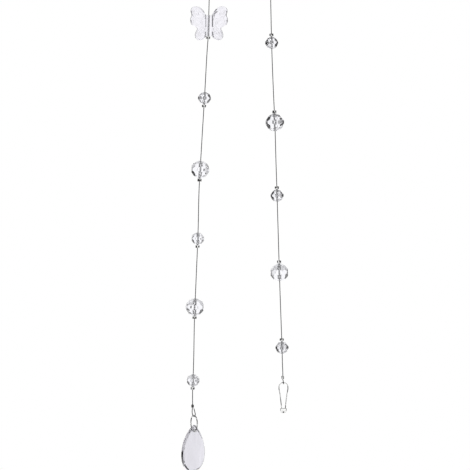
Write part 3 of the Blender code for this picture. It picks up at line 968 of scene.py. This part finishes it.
class StringSettings(bpy.types.PropertyGroup):
    thickness: FloatProperty(
        name="Thickness",
        description="Across the coated wire",
        default=0.7 * MM,
        unit="LENGTH",
        precision=5,
    )
    lay: FloatProperty(
        name="Lay",
        description="Length of one turn of its strands",
        default=5.4 * MM,
        unit="LENGTH",
        precision=5,
    )
    furrow: FloatProperty(
        name="Furrow",
        description="Depth between two strands, of the radius",
        default=0.09,
        subtype="FACTOR",
    )
    colour: FloatVectorProperty(
        name="Colour", description="The grey coating", default=(0.022, 0.022, 0.021), subtype="COLOR"
    )


class BeadSettings(bpy.types.PropertyGroup):
    small: FloatProperty(
        name="Small bead", description="Across the girdle", default=10.5 * MM, unit="LENGTH", precision=5
    )
    large: FloatProperty(
        name="Large bead", description="Across the girdle", default=15.0 * MM, unit="LENGTH", precision=5
    )
    bore: FloatProperty(
        name="Bore", description="Width of the drilled hole", default=1.4 * MM, unit="LENGTH", precision=5
    )
    edge: FloatProperty(
        name="Edge",
        description="Width of the polish on facet edges",
        default=0.1 * MM,
        unit="LENGTH",
        precision=5,
    )
    ior: FloatProperty(name="Bend", description="How strongly the glass bends light", default=1.52)
    tint: FloatVectorProperty(
        name="Tint", description="Of the clear glass", default=(0.88, 0.88, 0.91), subtype="COLOR"
    )


class ButterflySettings(bpy.types.PropertyGroup):
    rib: FloatProperty(
        name="Rib", description="Radius of the raised loops", default=0.5 * MM, unit="LENGTH", precision=5
    )
    sink: FloatProperty(
        name="Sink",
        description="How deep the loops lie, of their radius",
        default=0.1,
        subtype="FACTOR",
    )
    body_edge: FloatProperty(
        name="Body edge", description="Rounding of the body", default=1.0 * MM, unit="LENGTH", precision=5
    )
    vein: FloatProperty(
        name="Vein",
        description="Radius of one wing's leading edge",
        default=1.0 * MM,
        unit="LENGTH",
        precision=5,
    )
    left_groove: FloatProperty(
        name="Left groove", description="Beside the body", default=0.6 * MM, unit="LENGTH", precision=5
    )
    right_groove: FloatProperty(
        name="Right groove", description="Beside the body", default=0.95 * MM, unit="LENGTH", precision=5
    )
    edge_groove: FloatProperty(
        name="Edge groove",
        description="Inside one leading edge",
        default=1.5 * MM,
        unit="LENGTH",
        precision=5,
    )
    flow: FloatProperty(name="Flow marks", description="In a metre", default=330.0)
    grain: FloatProperty(
        name="Grain",
        description="Size of the moulded mesh's cells",
        default=0.22 * MM,
        unit="LENGTH",
        precision=5,
    )
    melt: IntProperty(name="Melt", description="How often the moulding is smoothed", default=1)
    ior: FloatProperty(name="Bend", description="How strongly the acrylic bends light", default=1.49)
    tint: FloatVectorProperty(
        name="Tint", description="Of the clear acrylic", default=(0.835, 0.825, 0.872), subtype="COLOR"
    )


class DropSettings(bpy.types.PropertyGroup):
    edge: FloatProperty(
        name="Edge",
        description="Width of the polish on ground edges",
        default=0.12 * MM,
        unit="LENGTH",
        precision=5,
    )
    mouth: FloatProperty(
        name="Mouth",
        description="Chamfer of the drilled hole",
        default=0.2 * MM,
        unit="LENGTH",
        precision=5,
    )
    ior: FloatProperty(name="Bend", description="How strongly the glass bends light", default=1.52)
    tint: FloatVectorProperty(
        name="Tint", description="Of the pendant's glass", default=(0.73, 0.72, 0.77), subtype="COLOR"
    )


class MetalSettings(bpy.types.PropertyGroup):
    cap_edge: FloatProperty(
        name="Cap edge",
        description="Fold of the pin cap's edges",
        default=0.5 * MM,
        unit="LENGTH",
        precision=5,
    )
    dimple: FloatProperty(
        name="Dimple",
        description="Radius of the dent that holds the pin",
        default=0.65 * MM,
        unit="LENGTH",
        precision=5,
    )
    colour: FloatVectorProperty(
        name="Colour", description="The bright plating", default=(0.9, 0.9, 0.89), subtype="COLOR"
    )
    roughness: FloatProperty(
        name="Roughness",
        description="Of the plating",
        default=0.06,
        subtype="FACTOR",
    )
    rubbed: FloatProperty(
        name="Rubbed",
        description="Roughness of the stops",
        default=0.28,
        subtype="FACTOR",
    )
    # How light the dark spots are: partly tarnish, partly painted reflection.
    tarnish_and_dark_reflection: FloatProperty(
        name="Tarnish",
        description="How light its spots are",
        default=0.12,
        subtype="FACTOR",
    )
    unevenness: FloatProperty(name="Unevenness", description="Dents in a metre", default=420.0)
    hammer: FloatProperty(
        name="Dent depth", description="Of the uneven metal", default=0.5 * MM, unit="LENGTH", precision=5
    )


class StageSettings(bpy.types.PropertyGroup):
    centre_x: FloatProperty(
        name="View X", description="Middle of the view", default=-4.56 * MM, unit="LENGTH", precision=5
    )
    centre_z: FloatProperty(
        name="View Z", description="Middle of the view", default=-332.1 * MM, unit="LENGTH", precision=5
    )
    span: FloatProperty(
        name="Span", description="Width of the view at the string", default=376.0 * MM, unit="LENGTH"
    )
    lens: FloatProperty(name="Lens", description="Focal length in millimetres", default=230.0)
    floor_drop: FloatProperty(
        name="Floor", description="How far the floor is under the drop", default=95.0 * MM, unit="LENGTH"
    )
    floor_radius: FloatProperty(
        name="Floor radius", description="Of the round pale floor", default=0.72, unit="LENGTH"
    )
    card_azimuth: FloatProperty(
        name="Dark cards",
        description="Their angle from straight ahead",
        default=math.radians(62),
        subtype="ANGLE",
    )
    card_width: FloatProperty(
        name="Card width", description="Seen from the string", default=math.radians(60), subtype="ANGLE"
    )
    card_height: FloatProperty(
        name="Card height",
        description="How far up and down they reach",
        default=math.radians(35),
        subtype="ANGLE",
    )
    card_level: FloatProperty(
        name="Card light", description="How light the dark cards are", default=0.02, subtype="FACTOR"
    )
    shade_height: FloatProperty(
        name="Shade height",
        description="Elevation where mirrored dark begins",
        default=math.radians(38),
        subtype="ANGLE",
    )
    white_level: FloatProperty(
        name="White light",
        description="How bright the white walls are",
        default=1.15,
    )
    lamp_size: FloatProperty(
        name="Lamp size",
        description="Across the round lamp",
        default=0.9,
        unit="LENGTH",
    )
    lamp_power: FloatProperty(
        name="Lamp power",
        description="Of the round lamp",
        default=2.0,
        unit="POWER",
    )
    lamp_place: FloatVectorProperty(
        name="Lamp place",
        description="Of the round lamp",
        default=(-0.9, -1.1, 0.9),
        subtype="TRANSLATION",
    )


class CurtainSettings(bpy.types.PropertyGroup):
    string: PointerProperty(type=StringSettings)
    beads: PointerProperty(type=BeadSettings)
    butterfly: PointerProperty(type=ButterflySettings)
    drop: PointerProperty(type=DropSettings)
    metal: PointerProperty(type=MetalSettings)
    stage: PointerProperty(type=StageSettings)


class CURTAIN_OT_string(bpy.types.Operator):
    """Make the grey string with its loops, doubled over the pole"""

    bl_idname = "curtain.string"
    bl_label = "String"

    def execute(self, context):
        settings = context.scene.bead_curtain.string
        radius = settings.thickness / 2
        route = smooth_route(string_points(radius), STRING_STEP)
        sides = 2 * STRING_LOBES
        ring = bpy.data.curves.new("lobes", "CURVE")
        ring.dimensions = "2D"
        lobes = ring.splines.new("POLY")
        lobes.points.add(sides - 1)
        lobes.use_cyclic_u = True
        for k, target in enumerate(lobes.points):
            reach = radius * (1 - settings.furrow * (k % 2))
            angle = 2 * math.pi * k / sides
            target.co = (reach * math.cos(angle), reach * math.sin(angle), 0, 1)
        section = bpy.data.objects.new("lobes", ring)
        context.scene.collection.objects.link(section)
        twist = 2 * math.pi * STRING_STEP / settings.lay
        strand = tube("strand", route, radius, section=section, twist=twist)
        bpy.data.objects.remove(section, do_unlink=True)
        present(strand, "coated_strand", coated_string(settings), "string_grey", "string")
        return {"FINISHED"}


class CURTAIN_OT_beads(bpy.types.Operator):
    """Cut the two sizes of glass bead and string all fourteen of them"""

    bl_idname = "curtain.beads"
    bl_label = "Beads"

    def execute(self, context):
        settings = context.scene.bead_curtain.beads
        route = threading_route(context)
        glass = cut_glass(settings)
        matt = drilled("drilled_bead", settings.ior)
        stones = {
            "small": cut_stone(settings.small, settings, glass, matt),
            "large": cut_stone(settings.large, settings, glass, matt),
        }
        for turn, node in zip(BEAD_TURNS, nodes_named("bead_")):
            stone = copy_of(stones[node.rsplit("_", 1)[1]])
            settle(stone, strung(route, node, math.radians(turn)))
            present(stone, f"cut_{node}", glass, "bead_glass", node)
        for stone in stones.values():
            bpy.data.objects.remove(stone, do_unlink=True)
        return {"FINISHED"}


class CURTAIN_OT_butterfly(bpy.types.Operator):
    """Make the moulded butterfly"""

    bl_idname = "curtain.butterfly"
    bl_label = "Butterfly"

    def execute(self, context):
        settings = context.scene.bead_curtain.butterfly
        low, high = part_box("butterfly")
        middle = Vector(((low.x + high.x) / 2, 0, high.z)) - Vector((0, 0, WING_TOP))
        acrylic = moulded_acrylic(settings)
        piece = moulded_butterfly(settings, middle, acrylic)
        present(piece, "moulded_butterfly", acrylic, "butterfly_acrylic", "butterfly")
        return {"FINISHED"}


class CURTAIN_OT_drop(bpy.types.Operator):
    """Make the pear-shaped drop"""

    bl_idname = "curtain.drop"
    bl_label = "Drop"

    def execute(self, context):
        settings = context.scene.bead_curtain.drop
        hanger = top_of("ring") - Vector((0, 0, RING_WIRE + 2 * RING_RADIUS))
        glass = drop_glass(settings)
        present(ground_drop(settings, hanger, glass), "ground_drop", glass, "drop_glass", "drop")
        return {"FINISHED"}


class CURTAIN_OT_fittings(bpy.types.Operator):
    """Make the stops, crimps, ring and pin"""

    bl_idname = "curtain.fittings"
    bl_label = "Fittings"

    def execute(self, context):
        settings = context.scene.bead_curtain.metal
        route = threading_route(context)
        bright, spotted, rubbed, dark_spotted, satin = (plated_metal(name, settings) for name in PLATINGS)
        # The nearly dark plating paints shade into every pinched dent and the cap's dimples; the drop's
        # crimps take it all over.
        for start_of_name, barrel in (
            ("stop_", crimp(STOP_RADIUS, STOP_LENGTH, rubbed, dark_spotted)),
            ("crimp_pin_", crimp(CRIMP_RADIUS, CRIMP_LENGTH, rubbed, dark_spotted)),
            ("crimp_drop_", crimp(CRIMP_RADIUS, CRIMP_LENGTH, dark_spotted, dark_spotted)),
        ):
            for number, node in enumerate(nodes_named(start_of_name)):
                spin = math.radians(SLEEVE_TURNS[number % len(SLEEVE_TURNS)])
                sleeve = settle(copy_of(barrel), strung(route, node, spin))
                present(sleeve, f"pinched_{node}", rubbed, "plated_metal", node)
            bpy.data.objects.remove(barrel, do_unlink=True)

        present(jump_ring(centre_of("ring")), "jump_ring", bright, "plated_metal", "ring")

        top = top_of("pin_wire") - Vector((0, 0, PIN_WIRE))
        half = [Vector((x, 0, z)) * MM for x, z in PIN_HALF]
        whole = [Vector((-p.x, 0, p.z)) for p in reversed(half[1:])] + half
        wire = tube("pin", [top + point for point in smooth_route(whole, PIN_STEP)], PIN_WIRE)
        present(wire, "bent_pin", spotted, "plated_metal", "pin_wire")
        present(pressed_cap(settings, top, satin, dark_spotted), "pressed_cap", satin, "plated_metal", "pin_cap")
        return {"FINISHED"}


def studio_world(settings):
    """White all round for the light and for the ground, with dark cards that only glass and metal show."""
    world = bpy.data.worlds.new("studio")
    recipe = Recipe(world)
    direction = recipe.node("ShaderNodeTexCoord", output="Generated")
    x = recipe.node("ShaderNodeSeparateXYZ", inputs={"Vector": direction}, output="X")
    y = x.out("Y")
    z = x.out("Z")
    azimuth = abs(x).math("ARCTAN2", abs(y))
    beside = abs(azimuth - settings.card_azimuth).over(settings.card_width / 2, CARD_SOFTNESS)
    beyond = abs(z).over(math.sin(settings.card_height), CARD_SOFTNESS)
    light = beside.math("MAXIMUM", beyond)
    camera = recipe.node("ShaderNodeLightPath", output="Is Camera Ray")
    mirrored = camera.out("Is Reflection Ray") * camera.out("Is Glossy Ray")
    shadow = abs(z).over(math.sin(settings.shade_height), CARD_SOFTNESS)
    light = light * (1.0 - mirrored * shadow)
    grey = settings.card_level + (settings.white_level - settings.card_level) * light
    level = camera + (1.0 - camera) * grey
    ground = recipe.node("ShaderNodeBackground", inputs={"Strength": level, "Color": shade(WHITE)})
    recipe.node("ShaderNodeOutputWorld", inputs={"Surface": ground})
    return world


def floor_material():
    """Plain pale floor with a faint unevenness."""
    material, recipe = new_recipe("pale_floor")
    faint = recipe.noise(scale=3.0)
    recipe.surface(
        base_color=recipe.blend(faint, shade(WHITE, FLOOR_DARK), shade(WHITE, FLOOR_LIGHT)),
        roughness=0.8,
    )
    return material


class CURTAIN_OT_stage(bpy.types.Operator):
    """Set up the floor, the light and the camera"""

    bl_idname = "curtain.stage"
    bl_label = "Stage"

    def execute(self, context):
        scene = context.scene
        settings = scene.bead_curtain.stage
        scene.world = studio_world(settings)
        floor = start(
            bpy.ops.mesh.primitive_cylinder_add,
            vertices=96,
            radius=settings.floor_radius,
            depth=FLOOR_THICKNESS,
            location=(0, 0, CAD_BOX[0].z - settings.floor_drop - FLOOR_THICKNESS / 2),
        )
        settle(floor)
        floor.name = "floor"
        floor.data.materials.append(floor_material())

        lamp = bpy.data.lights.new("softbox", "AREA")
        lamp.shape = "DISK"
        lamp.size = settings.lamp_size
        lamp.energy = settings.lamp_power
        softbox = bpy.data.objects.new("softbox", lamp)
        softbox.location = settings.lamp_place
        aim = Vector((0, 0, settings.centre_z)) - softbox.location
        softbox.rotation_euler = aim.to_track_quat("-Z", "Y").to_euler()
        scene.collection.objects.link(softbox)

        lens = bpy.data.cameras.new("camera")
        lens.lens = settings.lens
        lens.clip_end = 50.0
        camera = bpy.data.objects.new("camera", lens)
        distance = settings.span * lens.lens / lens.sensor_width
        camera.location = (settings.centre_x, -distance, settings.centre_z)
        camera.rotation_euler = (math.pi / 2, 0, 0)
        scene.collection.objects.link(camera)
        scene.camera = camera

        scene.view_settings.view_transform = "Standard"
        scene.cycles.max_bounces = 24
        scene.cycles.transmission_bounces = 20
        scene.cycles.glossy_bounces = 8
        scene.cycles.transparent_max_bounces = 16
        return {"FINISHED"}


class CURTAIN_PT_panel(bpy.types.Panel):
    """Sizes and colours of the string and its pieces, and a button for each"""

    bl_label = "Bead Curtain"
    bl_idname = "CURTAIN_PT_panel"
    bl_space_type = "VIEW_3D"
    bl_region_type = "UI"
    bl_category = "Bead Curtain"

    def draw(self, context):
        curtain = context.scene.bead_curtain
        for name in curtain.bl_rna.properties.keys():
            group = getattr(curtain, name)
            if not isinstance(group, bpy.types.PropertyGroup):
                continue
            box = self.layout.box()
            box.label(text=name.title())
            for key in group.__annotations__:
                box.prop(group, key)
        for operator in OPERATORS:
            self.layout.operator(operator.bl_idname)


SETTINGS = (
    StringSettings,
    BeadSettings,
    ButterflySettings,
    DropSettings,
    MetalSettings,
    StageSettings,
    CurtainSettings,
)
OPERATORS = (
    CURTAIN_OT_stage,
    CURTAIN_OT_string,
    CURTAIN_OT_beads,
    CURTAIN_OT_butterfly,
    CURTAIN_OT_drop,
    CURTAIN_OT_fittings,
)
CLASSES = (*SETTINGS, *OPERATORS, CURTAIN_PT_panel)


def register():
    for cls in CLASSES:
        bpy.utils.register_class(cls)
    bpy.types.Scene.bead_curtain = PointerProperty(type=CurtainSettings)


def unregister():
    del bpy.types.Scene.bead_curtain
    for cls in reversed(CLASSES):
        bpy.utils.unregister_class(cls)


def main():
    register()
    bpy.ops.curtain.stage()
    bpy.ops.curtain.string()
    bpy.ops.curtain.beads()
    bpy.ops.curtain.butterfly()
    bpy.ops.curtain.drop()
    bpy.ops.curtain.fittings()


if __name__ == "__main__":
    main()
